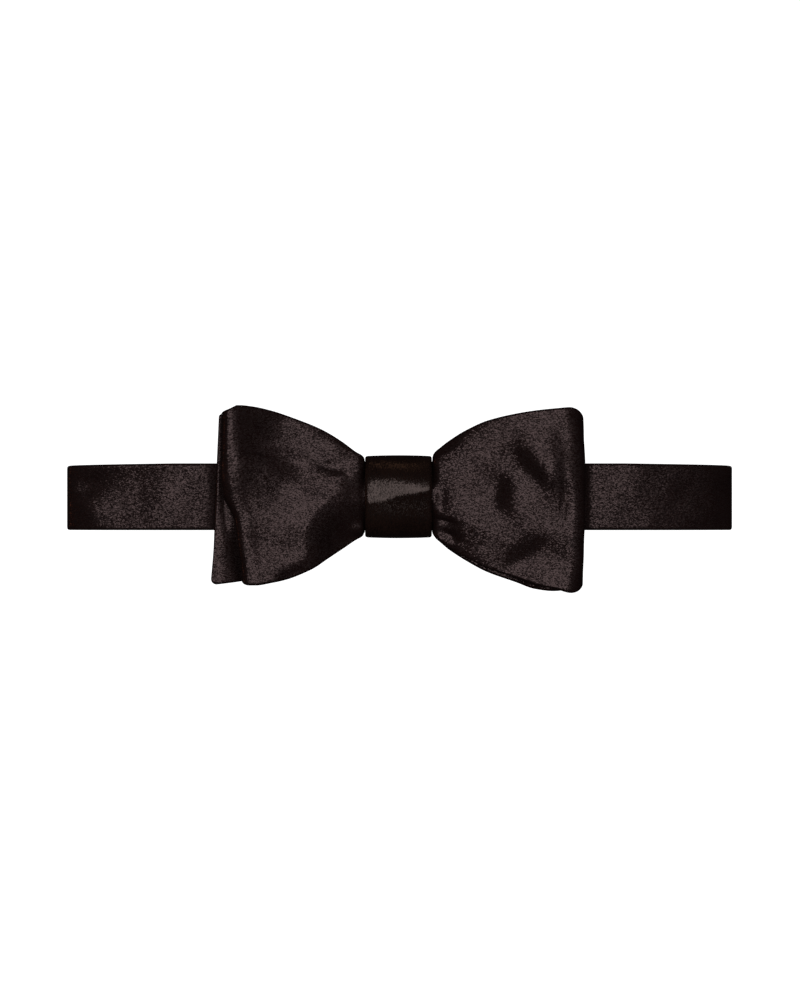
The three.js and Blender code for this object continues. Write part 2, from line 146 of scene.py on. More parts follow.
# Folds of the front cloth's two wings, the back cloth, the neckband and the knot. Each follows a
# line of points and stands up, or sinks where its height is negative. It falls away over one
# width on the left of the line's way and another on its right, as
# exp(-(distance / width) ** power), with 2 for the power where none is given. It rises from both
# ends over its fade, a share of the line, or else over END_FADE.
LEFT_FOLDS = [
    {
        "name": "roll",
        "height": 1.2,
        "widths": (6, 2),
        "line": [(-50.4, 40), (-50.6, 18), (-51.2, 10), (-51.6, -6)],
    },
    {
        "name": "lower roll",
        "height": 0.5,
        "widths": (2.6, 1.6),
        "line": [(-51.2, 12), (-48.6, -4), (-46.8, -12), (-44, -36)],
    },
    {
        "name": "upper hollow",
        "height": -2.1,
        "widths": (10, 11),
        "line": [(-35.6, 33), (-35, 18), (-35.4, 11), (-37.6, 4)],
    },
    {
        "name": "corner crease",
        "height": 0.5,
        "widths": (3.6, 9),
        "line": [(-58, 5), (-46, 8), (-38, 12), (-26, 18)],
    },
    {
        "name": "top edge",
        "height": -1,
        "widths": (4, 6),
        "line": [(-60, 28), (-42, 27.5), (-32, 25.5), (-14, 17)],
    },
    {
        "name": "knot pleat",
        "height": 0.9,
        "widths": (2.6, 1.6),
        "powers": (2, 1.2),
        "line": [(-23, 3), (-16, 6.2), (-11, 6.9), (2, 7)],
    },
    {
        "name": "pleat crease",
        "height": -0.5,
        "widths": (2.4, 1.4),
        "line": [(-28, 11.4), (-20.6, 8), (-15.6, 6.6), (-8, 7.6)],
    },
    {
        "name": "fall",
        "height": 2.2,
        "widths": (7, 9),
        "powers": (1.25, 2),
        "line": [
            (-49, -36),
            (-31, -21),
            (-28, -17),
            (-28.6, -10),
            (-25.4, -4.6),
            (-17.6, 2),
            (-4, 8),
        ],
    },
    {
        "name": "lower lobe",
        "height": 1.6,
        "widths": (2, 1.8),
        "line": [(-4, -7.4), (-12, -9), (-16, -10.6)],
    },
    {
        "name": "foot dent",
        "height": -1,
        "widths": (2.2, 2.2),
        "line": [(-38, -29), (-33.6, -24), (-27, -20.6)],
    },
    {
        "name": "top lift",
        "height": 1,
        "widths": (4, 4),
        "line": [(-5, 12.2), (-12.6, 12.6), (-28, 19)],
    },
]
RIGHT_FOLDS = [
    {
        "name": "lower dent",
        "height": -1.9,
        "widths": (4.8, 8),
        "line": [(25, -26.6), (37, -19.4), (42, -16.6), (51, -11)],
    },
    {
        "name": "edge crease",
        "height": -0.35,
        "widths": (1.4, 1.4),
        "line": [(47.6, 13), (49.6, 0), (47, -14)],
    },
    {
        "name": "knot crease",
        "height": -0.9,
        "widths": (1, 1.4),
        "line": [(4, -5.4), (10, -6), (14, -7), (20, -9)],
    },
    {
        "name": "lobe dent",
        "height": -0.9,
        "widths": (1.6, 1.8),
        "line": [(10, -8), (14.6, -10.4), (20, -13.6)],
    },
    {"name": "side dent", "height": -0.5, "widths": (2.4, 3), "line": [(11.6, 7), (12.6, -8)]},
    {
        "name": "hem",
        "height": 0.9,
        "widths": (1.2, 2.6),
        "line": [(53.2, 40), (53.6, 0), (53.2, -42)],
    },
]
BACK_FOLDS = [
    {
        "name": "gutter",
        "height": -1.1,
        "widths": (2, 2.8),
        "fade": 0.25,
        "line": [(-50.6, -7.5), (-49.2, -11), (-48.2, -16), (-46.8, -23), (-44.4, -38)],
    },
    {
        "name": "hem groove",
        "height": -0.3,
        "widths": (1, 0.8),
        "fade": 0.2,
        "line": [(-53.2, 10), (-52.6, -4), (-51.4, -13)],
    },
]
BAND_FOLDS = [
    {"name": "left tuck", "height": -0.6, "widths": (2, 1.7), "line": [(-54.6, 30), (-54.6, -30)]},
    {"name": "right tuck", "height": -0.8, "widths": (2.4, 2), "line": [(54.6, 30), (54.6, -30)]},
    {"name": "left sag", "height": -1.3, "widths": (7, 12), "line": [(-76, 15), (-84, -14)]},
    {"name": "left end sag", "height": -1.1, "widths": (4, 4), "line": [(-110, 4), (-80, 3)]},
    {"name": "right sag", "height": -0.2, "widths": (12, 7), "line": [(76, 15), (84, -14)]},
    {"name": "right rise", "height": 1, "widths": (5, 12), "line": [(92, 15), (93, -14)]},
    {"name": "right end sag", "height": -0.5, "widths": (4, 4), "line": [(80, 3), (98, -2)]},
]
KNOT_RIDGE = [(-12, -2.2), (-4.4, -1.1), (-0.8, 0.4), (5.6, 1.3), (9, 2), (12, 2.6)]
KNOT_FOLDS = [
    {
        "name": "ridge",
        "height": 1.2,
        "widths": (11, 5),
        "powers": (2, 1.1),
        "line": [(-60, -4), *KNOT_RIDGE, (60, 6)],
    },
    {
        "name": "right ridge",
        "height": 0.8,
        "widths": (4.6, 5),
        "powers": (2, 1.1),
        "line": [(-5, -1.2), *KNOT_RIDGE[2:], (24, 5)],
    },
    {"name": "upper fall", "height": -1.6, "widths": (5, 5), "line": [(-60, 13), (60, 13)]},
]

# Dents: the middle's place, the cloth's slope there along X and Y, and the widths over which it
# levels out, along the slope and across it.
RIGHT_DENTS = [
    {"name": "middle", "place": (32.3, 2), "slope": (0.47, 0.08), "widths": (7.6, 8.8)},
    {"name": "upper", "place": (41, 7.4), "slope": (0.45, 0.27), "widths": (7, 10)},
    {"name": "lower", "place": (38.4, -14.4), "slope": (0.1, 0.06), "widths": (5, 5)},
    {"name": "lower inner", "place": (23, -11.6), "slope": (0.05, 0.1), "widths": (5, 4)},
]

# Soft unevenness of the bow and the neckband: (height, waves per mm along X and along Y, phase
# in turns)
RIPPLES = [
    (0.07, 0.042, 0.021, 0.1),
    (0.06, -0.031, 0.055, 0.4),
    (0.04, 0.083, -0.047, 0.7),
    (0.03, 0.071, 0.103, 0.25),
]

FULL_POWER = 0.4  # of the crown of the front cloth, flatter on top than the part's own
FULL_BREADTH = 1.25  # of that crown, as a share of the wing's
FULL_FROM = -1  # the left wing is full above this height
FULL_OVER = 6  # and gets so over this one
SHOULDER_POWER = 1.5  # of the neckband's front shoulders: 1 is an ellipse, more slopes sooner
SQUARENESS = 4  # of the left loop's round, in front: 2 is round
END_FADE = 0.4  # share of a fold's line over which it rises from either end
ROOM = 2.2  # breadth beside the knot over which the relief sets in
ROUND_BLEND = 0.8  # turn in the left loop's round over which the relief sets in, in radians
LOOP_BLEND = 7  # breadth over which the back loop starts to follow the front's dents
LOOP_START = 1  # how far inside that loop's round it starts
BAND_BLEND = 4  # height over which the neckband's relief sets in

# Fineness: steps in millimetres, then numbers of steps, rows, points and columns
STEP = 0.6
BAND_STEP = 0.8
KNOT_STEP = 0.4
FOLD_STEPS = 28
FLARE_ROWS = 6
LEAST_ROWS = 4
FRONT_POINTS = 200
SHOULDER_POINTS = 60
ARCH_POINTS = 240
CORNER_POINTS = 12
PLAIN_COLUMNS = 84
RIM_SHARES = [0.9735, 0.981, 0.988, 0.9935, 0.9975, 1]  # places across, closer at the edge
END_ROWS = [1.6, 1.2, 0.85, 0.55, 0.3, 0.13, 0.04, 0]  # distances from a blade's free end
END_SPACE = 0.3  # least distance of the rows before them
RIM = 0.75  # breadth of the rounded edges
THIN_END = 0.06  # share of the thickness that is left at a strip's end

# Satin: tones and gloss in linear colours, lengths in metres
BLACK = (0.004, 0.0017, 0.0017), (0.022, 0.011, 0.0105)
# The knot's tones are the bow's black satin painted lighter and warmer: painted warm light on the
# knot, with KNOT_GLOSS tinting its gloss warmer to go with it.
KNOT_BLACK_PAINTED_LIGHTER = (0.007, 0.0035, 0.003), (0.028, 0.015, 0.012)
GLOSS_TINT = (1, 0.77, 0.79)
KNOT_GLOSS = (1, 0.84, 0.82)
SPECULAR = 0.5
FLOAT_ANGLE = 45
FLOAT_LENGTH = 0.00036
FLOAT_WIDTH = 0.00019
SOFT_SCALE = 90
SOFT_DETAIL = 2
SOFT_BUMP = 0.0001
TONE_RANGE = 0.05, 0.5  # of float times unevenness, from the dark tone to the light one
GLINT_RANGE = 0.2, 0.8  # of the float alone, from the dullest to the shiniest
CELL_MIDDLE = (0.5, 0.5, 0.5)

# Satins: (dark tone, light tone, gloss, roughness of shiny and of dull floats, floats' tilt)
SATINS = {
    "neckband_satin": (*BLACK, GLOSS_TINT, (0.14, 0.9), 0.3),
    "bow_satin": (*BLACK, GLOSS_TINT, (0.04, 0.72), 0.26),
    # The knot's satin is a lighter, warmer copy of the bow's: painted warm light.
    "knot_satin": (*KNOT_BLACK_PAINTED_LIGHTER, KNOT_GLOSS, (0.06, 0.36), 0.16),
}
SLOTS = {
    "neckband": "neckband_satin",
    "back_bow": "bow_satin",
    "front_bow": "bow_satin",
    "knot": "knot_satin",
}

# Surroundings, in metres. Lights: (name, place, size, power, colour)
LIGHTS = [
    ("key", (0, 0.3, 2.0), 1.7, 13.2, (1, 0.93, 0.9)),
    ("warm", (0, 1.9, 0.2), 0.5, 0.26, (1, 0.6, 0.36)),
    ("warm side", (-1.9, 0, 0.5), 0.5, 0.5, (1, 0.4, 0.2)),
]
LIGHT_TARGET = (0, 0, 0.02)
WORLD_COLOUR = (1, 0.85, 0.85, 1)
WORLD_STRENGTH = 0.012
FLOOR_REACH = 6
FLOOR_DROP = 0.0005
FLOOR_GLOW = 1.2
CAMERA_PLACE = (0.00015, -0.00099, 1.518)
LENS = 180
SENSOR = 36
CLIP_START = 0.01

KNOT_HALF = KNOT_WIDTH / 2
LEFT_EDGE = KNOT_OFFSET - KNOT_HALF
RIGHT_EDGE = KNOT_OFFSET + KNOT_HALF
KNOT_HEIGHT = BAND_WIDTH + 2 * (KNOT_WALL + CLEARANCE + KNOT_EASE)
KNOT_BACK = BAND_THICKNESS + NECK_GAP + KNOT_WALL / 2
BAND_IN_KNOT = KNOT_BACK + KNOT_WALL / 2 + CLEARANCE + BAND_THICKNESS / 2
BAND_CREST = LOOP_HEIGHT - BAND_THICKNESS / 2
CREST_AT = LOOP_WIDTH / 2 - FRONT_SHOULDER
SIDE_AT = LOOP_WIDTH / 2 - BAND_THICKNESS / 2
LAYER_STEP = CLOTH + CLEARANCE
GATHERED_HALF = BAND_WIDTH / 2 - GATHER_INSET


def mix(a, b, t):
    return a + (b - a) * t


def ease(t):
    t = np.clip(t, 0, 1)
    return t * t * (3 - 2 * t)


def curve_through(table, column=1):
    """Smooth curve through a table's rows, from the first column to the given one."""
    keys = np.array([row[0] for row in table], float)
    values = np.array([row[column] for row in table], float)
    spans = np.diff(keys)
    slopes = np.diff(values) / spans
    before, after = slopes[:-1], slopes[1:]
    turning = before * after <= 0
    inner = np.where(turning, 0, 2 * before * after / np.where(turning, 1, before + after))
    tangents = np.concatenate([slopes[:1], inner, slopes[-1:]])

    def at(t):
        t = np.clip(t, keys[0], keys[-1])
        i = np.clip(np.searchsorted(keys, t) - 1, 0, len(spans) - 1)
        u = (t - keys[i]) / spans[i]
        near = values[i] * (1 + 2 * u) + tangents[i] * spans[i] * u
        far = values[i + 1] * (3 - 2 * u) - tangents[i + 1] * spans[i] * (1 - u)
        return near * (1 - u) ** 2 + far * u**2

    return at


def corner_pull(radius, distance):
    inside = np.maximum(0, radius - distance)
    return radius - np.sqrt(radius**2 - inside**2)


def fold_height(fold, x, y):
    """Height of one fold at points of the cloth. It fades out towards its line's ends."""
    line = np.array(fold["line"], float)
    lengths = np.linalg.norm(np.diff(line, axis=0), axis=1)
    starts = np.concatenate([[0], np.cumsum(lengths)])
    nearest = np.full(np.shape(x), np.inf)
    signed = np.zeros(np.shape(x))
    way = np.zeros(np.shape(x))
    for (ax, ay), (bx, by), length, start in zip(line[:-1], line[1:], lengths, starts):
        dx, dy = (bx - ax) / length, (by - ay) / length
        t = np.clip((x - ax) * dx + (y - ay) * dy, 0, length)
        distance = np.hypot(x - ax - t * dx, y - ay - t * dy)
        side = np.where(dx * (y - ay) - dy * (x - ax) > 0, 1, -1)
        closer = distance < nearest
        nearest = np.where(closer, distance, nearest)
        signed = np.where(closer, side, signed)
        way = np.where(closer, start + t, way)
    width = np.where(signed > 0, *fold["widths"])
    power = np.where(signed > 0, *fold.get("powers", (2, 2)))
    end = np.minimum(way, starts[-1] - way) / starts[-1]
    profile = np.exp(-((nearest / width) ** power))
    return fold["height"] * ease(end / fold.get("fade", END_FADE)) * profile


def relief(folds, x, y):
    return sum(fold_height(fold, x, y) for fold in folds)


def dent_height(dent, x, y):
    right, up = x - dent["place"][0], y - dent["place"][1]
    steepness = math.hypot(*dent["slope"])
    way_x, way_y = dent["slope"][0] / steepness, dent["slope"][1] / steepness
    along, across = right * way_x + up * way_y, up * way_x - right * way_y
    long, wide = dent["widths"]
    return steepness * along * np.exp(-((along / long) ** 2) - (across / wide) ** 2)


def right_relief(x, y):
    return relief(RIGHT_FOLDS, x, y) + sum(dent_height(dent, x, y) for dent in RIGHT_DENTS)


def ripple(x, y):
    return sum(
        height * np.sin(math.tau * (along * x + up * y + phase))
        for height, along, up, phase in RIPPLES
    )


def gather(x, y, breadth=1):
    """Share of the way out along a wing, and how round its crown is at a point."""
    wing = np.where(x < KNOT_OFFSET, LEFT_REACH, RIGHT_REACH)
    share = np.clip((np.abs(x - KNOT_OFFSET) - KNOT_HALF) / wing, 0, 1)
    spread = 1 - (1 - share) ** SPREAD_POWER
    half = breadth * mix(BAND_WIDTH, LEFT_UP + LEFT_DOWN, spread) / 2
    return share, np.maximum(0, 1 - (y / half) ** 2)


def fuller_front(x, y):
    """What the front cloth stands up beside the knot, over the plain crown."""
    share, rounded = gather(x, y)
    is_full = np.where(x < KNOT_OFFSET, ease((y - FULL_FROM) / FULL_OVER), 1)
    gained = gather(x, y, FULL_BREADTH)[1] ** FULL_POWER - rounded**CROWN_POWER
    return GATHER_CROWN * (1 - share) ** 2 * gained * is_full


def band_height(x):
    level = KNOT_HALF + abs(KNOT_OFFSET)
    return mix(BAND_IN_KNOT, BAND_CREST, ease((np.abs(x) - level) / (CREST_AT - level)))


def layer_height(level, x, y):
    """Middle surface of a layer: 1 lies on the neckband, 3 is the front face."""
    is_left = x < KNOT_OFFSET
    share, rounded = gather(x, y)
    hollow = (FOLD_HEIGHT - LAYER_STEP) * np.sin(share * math.pi / 2)
    puff = np.where(is_left, 0, PUFF * np.sin(share * math.pi))
    crown = GATHER_CROWN * (1 - share) ** 2 * rounded**CROWN_POWER
    height = band_height(x) + (BAND_THICKNESS + CLOTH) / 2 + CLEARANCE + BLADE_LIFT * share**2
    if level == 2:
        height = height + LAYER_STEP + np.where(is_left, 0, hollow)
    if level == 3:
        height = height + 2 * LAYER_STEP + hollow + puff
    return height + crown * level / 3


class Layer:
    """One layer of a wing, from the knot to its tip."""

    def __init__(self, side, level, reach, outline, edge, fullness=1, corners=None):
        self.side, self.level, self.reach, self.fullness = side, level, reach, fullness
        self.corners = corners
        self.start = LEFT_EDGE if side < 0 else RIGHT_EDGE
        self.up, self.down = (LEFT_UP, LEFT_DOWN) if side < 0 else (RIGHT_UP, RIGHT_DOWN)
        self.up_share = curve_through(outline, 1)
        self.down_share = curve_through(outline, 2)
        self.edge_share = curve_through(edge)

    def reach_at(self, across):
        return self.reach * self.edge_share(across)

    def y_at(self, out, across):
        opened = ease((out * self.reach - CLEARANCE) / NECK_FLARE)
        upper, lower = self.up_share(out) * self.up, self.down_share(out) * self.down
        full = np.where(across > 0, upper, lower) * self.fullness
        if self.corners:
            radius = np.where(across > 0, *self.corners)
            full = full - corner_pull(radius, (1 - out) * self.reach)
        return across * mix(GATHERED_HALF, full, opened)

    def point(self, out, across):
        x = self.start + self.side * out * self.reach_at(across)
        y = self.y_at(out, across)
        return np.stack([x, y, layer_height(self.level, x, y)], axis=-1)


left_front = Layer(-1, 3, LEFT_REACH, LEFT_LOOP_OUTLINE, LEFT_FOLD_EDGE)
left_inner = Layer(
    -1, 2, LEFT_REACH, LEFT_LOOP_OUTLINE, LEFT_FOLD_EDGE, fullness=LEFT_INNER_FULLNESS
)
left_back = Layer(
    -1, 1, BACK_BLADE_REACH, LEFT_BLADE_OUTLINE, LEFT_BLADE_EDGE, corners=BACK_CORNERS
)
right_front = Layer(
    1, 3, RIGHT_REACH, RIGHT_BLADE_OUTLINE, RIGHT_BLADE_EDGE, corners=FRONT_CORNERS
)
right_inner = Layer(1, 2, BACK_LOOP_REACH, RIGHT_LOOP_OUTLINE, RIGHT_FOLD_EDGE)
right_back = Layer(
    1, 1, BACK_LOOP_REACH, RIGHT_LOOP_OUTLINE, RIGHT_FOLD_EDGE, fullness=RIGHT_BACK_FULLNESS
)


class LoopFold:
    """The round of a loop, from its lower wall to its upper one."""

    def __init__(self, lower, upper, squareness=2):
        self.lower, self.upper, self.squareness = lower, upper, squareness

    def ends(self, across):
        outer = self.upper.reach_at(across)
        out = 1 - FOLD_HEIGHT / 2 / outer
        return outer, out, self.lower.point(out, across), self.upper.point(out, across)

    def point(self, turn, across):
        outer, _, low, high = self.ends(across)
        depth = FOLD_HEIGHT / 2
        power = np.where(across > 0, TOP_TUCK_POWER, FOOT_TUCK_POWER)
        tuck = FOLD_TUCK * across * np.maximum(0, np.cos(turn)) ** power
        power = np.where(turn > 0, 2 / self.squareness, 1)
        rise = np.sign(np.sin(turn)) * np.abs(np.sin(turn)) ** power
        reach = np.cos(turn) ** power
        x = self.upper.start + self.upper.side * (outer - depth + depth * reach)
        y = mix(low[..., 1], high[..., 1], ease((1 + rise) / 2)) - tuck
        z = (low[..., 2] + high[..., 2]) / 2 + (high[..., 2] - low[..., 2]) / 2 * rise
        return np.stack([x, y, z], axis=-1)


left_fold = LoopFold(left_inner, left_front, SQUARENESS)
right_fold = LoopFold(right_back, right_inner)

FOLD_TURNS = np.linspace(-math.pi / 2, math.pi / 2, FOLD_STEPS + 1)[1:-1]
plain = np.linspace(-1, 1, PLAIN_COLUMNS) * (2 * RIM_SHARES[0] - RIM_SHARES[1])
ACROSS = np.concatenate([-np.array(RIM_SHARES[::-1]), plain, RIM_SHARES])[None, :]


def out_shares(reach):
    """Shares of the way out, closer together where the cloth flares beside the knot."""
    start = CLEARANCE / reach
    flared = start + NECK_FLARE / reach
    flare = np.linspace(start, flared, FLARE_ROWS)
    wall = np.linspace(flared, 1, int((1 - flared) * reach / STEP))
    return np.concatenate([[0], flare, wall[1:]])[:, None]


def wall_rows(layer, fold):
    shares = out_shares(layer.reach_at(0))
    return layer.point(shares * fold.ends(ACROSS)[1], ACROSS)


def fold_rows(fold):
    return fold.point(FOLD_TURNS[:, None], ACROSS)


def gathered_rows(level, start, end):
    count = max(LEAST_ROWS, int(abs(end - start) / STEP))
    x = np.linspace(start, end, count)[:, None] + 0 * ACROSS
    y = ACROSS * GATHERED_HALF + 0 * x
    return np.stack([x, y, layer_height(level, x, y)], axis=-1)


def end_shares(reach):
    """Shares of the way out, closer together at a blade's free end."""
    shares = out_shares(reach)[:, 0]
    near_end = 1 - np.array(END_ROWS) / reach
    before = shares[shares < near_end[0] - END_SPACE / reach]
    return np.concatenate([before, near_end])[:, None]


def front_blade_rows():
    """The front blade, bent down over the round of the loop behind it."""
    shares = end_shares(RIGHT_REACH)
    points = right_front.point(shares, ACROSS)
    bend_at = RIGHT_EDGE + right_fold.ends(ACROSS)[0] - FOLD_HEIGHT / 2
    past = np.maximum(0, points[..., 0] - bend_at)
    radius = FOLD_HEIGHT / 2 + LAYER_STEP
    flat = layer_height(3, np.minimum(points[..., 0], bend_at), points[..., 1])
    points[..., 2] = flat - radius + np.sqrt(radius**2 - past**2)
    return points


def stacked(*parts):
    """Joins parts of a strip: (rows, weight of the front relief on each row)."""
    rows = np.concatenate([rows for rows, _ in parts])
    weights = np.concatenate([np.broadcast_to(weight, len(rows)) for rows, weight in parts])
    return rows, weights[:, None]


def surface_normals(grid, ring):
    if ring:
        along = np.roll(grid, -1, axis=0) - np.roll(grid, 1, axis=0)
    else:
        along = np.gradient(grid, axis=0)
    normals = np.cross(along, np.gradient(grid, axis=1))
    return normals / np.linalg.norm(normals, axis=-1, keepdims=True)


def way_along(grid, axis):
    """Distance travelled along one axis of a grid of points."""
    steps = np.linalg.norm(np.diff(grid, axis=axis), axis=-1)
    start = np.zeros_like(np.take(steps, [0], axis=axis))
    return np.concatenate([start, np.cumsum(steps, axis=axis)], axis=axis)


def rounded_rim(distance):
    """Share of the thickness at a distance from an edge."""
    return np.sqrt(1 - (1 - np.clip(distance / RIM, 0, 1)) ** 2)


def half_thickness(grid, thickness, ring):
    across = way_along(grid, 1)
    half = thickness / 2 * rounded_rim(np.minimum(across, across[:, -1:] - across))
    if ring:
        return half
    along = way_along(grid, 0)
    end = np.minimum(along, along[-1:] - along)
    return half * np.maximum(THIN_END, rounded_rim(end))


def cloth(name, grid, thickness, ring=False):
    """Closed piece of cloth round a grid of points on its middle surface."""
    rows, columns = grid.shape[:2]
    normals = surface_normals(grid, ring)
    half = half_thickness(grid, thickness, ring)[..., None]
    front = grid + normals * half
    back = (grid - normals * half)[:, -2:0:-1]
    around = 2 * columns - 2
    vertices = np.concatenate([front, back], axis=1).reshape(-1, 3) * MM
    index = np.arange(rows * around).reshape(rows, around)
    here = index if ring else index[:-1]
    ahead = np.roll(index, -1, axis=0) if ring else index[1:]
    sides = [here, ahead, np.roll(ahead, -1, axis=1), np.roll(here, -1, axis=1)]
    faces = np.stack(sides, axis=-1).reshape(-1, 4).tolist()
    if not ring:
        faces += cap(index[0], columns) + [face[::-1] for face in cap(index[-1], columns)]
    mesh = bpy.data.meshes.new(name)
    mesh.from_pydata(vertices.tolist(), [], faces)
    mesh.shade_smooth()
    lay_out(mesh, grid, around)
    piece = bpy.data.objects.new(name, mesh)
    bpy.context.collection.objects.link(piece)
    return piece


def cap(row, columns):
    """Faces that close a strip's end."""
    front = row[:columns].tolist()
    back = [front[0], *row[columns:][::-1].tolist(), front[-1]]
    faces = []
    for j in range(columns - 1):
        corners = [front[j], front[j + 1], back[j + 1], back[j]]
        faces.append(list(dict.fromkeys(corners)))
    return faces


def lay_out(mesh, grid, around):
    """UV map with the cloth laid flat, in metres: u along the strip, v across it."""
    rows, columns = grid.shape[:2]
    middle = columns // 2
    along = way_along(grid[:, middle : middle + 1], 0)
    total = along[-1, 0] + np.linalg.norm(grid[0, middle] - grid[-1, middle])
    across = way_along(grid, 1)
    across = across - across[:, -1:] / 2
    u = np.broadcast_to(along, (rows, around))
    v = np.concatenate([across, across[:, -2:0:-1]], axis=1)
    flat = np.stack([u, v], axis=-1).reshape(-1, 2)
    corners = np.zeros(len(mesh.loops), dtype=np.int64)
    mesh.loops.foreach_get("vertex_index", corners)
    placed = flat[corners]
    wraps = np.repeat(np.arange(len(mesh.polygons)), [len(p.vertices) for p in mesh.polygons])
    for_face = np.zeros(len(mesh.polygons))
    np.maximum.at(for_face, wraps, placed[:, 0])
    lagging = (for_face[wraps] - placed[:, 0]) > total / 2
    placed[lagging, 0] += total
    layer = mesh.uv_layers.new(name="cloth")
    layer.data.foreach_set("uv", (placed * MM).ravel())


def shaped(rows, weights, height, ring=False):
    """Pushes a strip's middle surface out along its normals by a height at each point."""
    x, y = rows[..., 0], rows[..., 1]
    pushed = weights * (height(x, y) + ripple(x, y))
    return rows + surface_normals(rows, ring) * pushed[..., None]


def bow_strip(name, parts, height):
    rows, weights = stacked(*parts)
    return cloth(name, shaped(rows, weights, height), CLOTH)


def room(x):
    """Share of the relief beside the knot: none where the knot holds the cloth."""
    return ease((np.abs(x - KNOT_OFFSET) - KNOT_HALF - CLEARANCE) / ROOM)


def middle_x(rows):
    return rows[:, rows.shape[1] // 2, 0]


def with_room(rows):
    """A wing's rows, with the share of the relief on each."""
    return rows, room(middle_x(rows))


def front_bow():
    """The front strip, from the knot round the left loop and on to the right blade's end."""
    return bow_strip(
        "front_bow_cloth",
        [
            (gathered_rows(2, KNOT_OFFSET - TAIL_GAP / 2, LEFT_EDGE)[:-1], 0),
            (wall_rows(left_inner, left_fold), 0),
            (fold_rows(left_fold), ease(FOLD_TURNS / ROUND_BLEND)),
            with_room(wall_rows(left_front, left_fold)[::-1]),
            (gathered_rows(3, LEFT_EDGE, RIGHT_EDGE)[1:-1], 0),
            with_room(front_blade_rows()),
        ],
        lambda x, y: relief(LEFT_FOLDS, x, y) + right_relief(x, y) + fuller_front(x, y),
    )


def back_bow():
    """The back strip. Its loop's inner wall faces away, so it follows the front with a minus."""
    back = left_back.point(end_shares(BACK_BLADE_REACH), ACROSS)
    inner = wall_rows(right_inner, right_fold)[::-1]
    from_round = inner[0, 0, 0] - LOOP_START - middle_x(inner)
    return bow_strip(
        "back_bow_cloth",
        [
            with_room(back[::-1]),
            (gathered_rows(1, LEFT_EDGE, RIGHT_EDGE)[1:-1], 0),
            (wall_rows(right_back, right_fold), 0),
            (fold_rows(right_fold), 0),
            (inner, -room(middle_x(inner)) * ease(from_round / LOOP_BLEND)),
            (gathered_rows(2, RIGHT_EDGE, KNOT_OFFSET + TAIL_GAP / 2)[1:], 0),
        ],
        lambda x, y: relief(BACK_FOLDS, x, y) + np.minimum(0, right_relief(x, y)),
    )


def resampled(path, step):
    """Points every step along a closed path, with any further columns carried along."""
    closed = np.array([*path, path[0]], float)
    way = np.concatenate([[0], np.cumsum(np.linalg.norm(np.diff(closed[:, :2], axis=0), axis=1))])
    places = np.linspace(0, way[-1], int(way[-1] / step) + 1)[:-1]
    return np.stack([np.interp(places, way, column) for column in closed.T], axis=-1)


def neckband():
    side_height, back_height = LOOP_HEIGHT / 2, BAND_THICKNESS / 2
    flat_end = LOOP_WIDTH / 2 - BACK_BEND
    quarter = np.linspace(0, math.pi / 2, SHOULDER_POINTS)
    front = [(x, band_height(x), 0) for x in np.linspace(-CREST_AT, CREST_AT, FRONT_POINTS)]
    shoulder = [
        (
            CREST_AT + (SIDE_AT - CREST_AT) * math.sin(turn),
            side_height + (BAND_CREST - side_height) * math.cos(turn) ** SHOULDER_POWER,
            turn / (math.pi / 2),
        )
        for turn in quarter[1:]
    ]
    heel = [
        (
            flat_end + (SIDE_AT - flat_end) * math.sin(turn),
            side_height - (side_height - back_height) * math.cos(turn),
            1,
        )
        for turn in quarter[::-1][1:]
    ]
    right = shoulder + heel
    left = [(-x, z, taper) for x, z, taper in right][::-1]
    path = resampled(front + right + left, BAND_STEP)
    x, z, taper = (path[:, i : i + 1] for i in range(3))
    top = BAND_WIDTH / 2 - (BAND_WIDTH - BAND_END_WIDTH) * taper
    y = mix(-BAND_WIDTH / 2, top, (ACROSS[:, ::2] + 1) / 2)
    grid = np.stack([x + 0 * y, y, z + 0 * y], axis=-1)
    weights = ease((z - side_height) / BAND_BLEND)
    grid = shaped(grid, weights, lambda x, y: relief(BAND_FOLDS, x, y), ring=True)
    return cloth("neckband_cloth", grid, BAND_THICKNESS, ring=True)


def knot():
    half = KNOT_HEIGHT / 2 - KNOT_WALL / 2
    shoulder = float(layer_height(2, np.float64(KNOT_OFFSET), BAND_WIDTH / 2))
    front_face = float(layer_height(3, np.float64(KNOT_OFFSET), 0)) + CLOTH / 2
    crest = front_face + CLEARANCE + KNOT_WALL / 2
    power = 2 / KNOT_ARCH_POWER
    low_corner = KNOT_BACK + KNOT_BACK_RADIUS
    arch = [
        (
            math.copysign(half * abs(math.cos(turn)) ** power, math.cos(turn)),
            shoulder + (crest - shoulder) * math.sin(turn) ** power,
        )
        for turn in np.linspace(0, math.pi, ARCH_POINTS)[:-1]
    ]
    corner = [
        (
            half - KNOT_BACK_RADIUS + KNOT_BACK_RADIUS * math.sin(turn),
            low_corner - KNOT_BACK_RADIUS * math.cos(turn),
        )
        for turn in np.linspace(0, math.pi / 2, CORNER_POINTS)
    ]
    foot_corner = [(-y, z) for y, z in corner][::-1]
    path = resampled(corner + arch + [(-half, shoulder)] + foot_corner, KNOT_STEP)
    y, z = path[:, :1], path[:, 1:]
    x = KNOT_OFFSET + ACROSS[:, ::2] * KNOT_HALF + 0 * y
    swell = 1 - ACROSS[:, ::2] ** 2
    front_share = np.clip((z - shoulder) / (crest - shoulder), 0, 1)
    lifted = KNOT_BULGE * swell + relief(KNOT_FOLDS, x, y + 0 * x)
    pinched = y * (1 + (swell - 1) * KNOT_PINCH / half)
    grid = np.stack([x, pinched, z + front_share * lifted], axis=-1)
    return cloth("knot_cloth", grid, KNOT_WALL, ring=True)


def add(tree, kind, links=None, **values):
    """Adds a node. Values name its properties or its inputs, links its linked inputs."""
    node = tree.nodes.new(kind)
    for key, value in values.items():
        if hasattr(node, key):
            setattr(node, key, value)
        else:
            node.inputs[key.replace("_", " ")].default_value = value
    for key, socket in (links or {}).items():
        tree.links.new(socket, node.inputs[key])
    return node


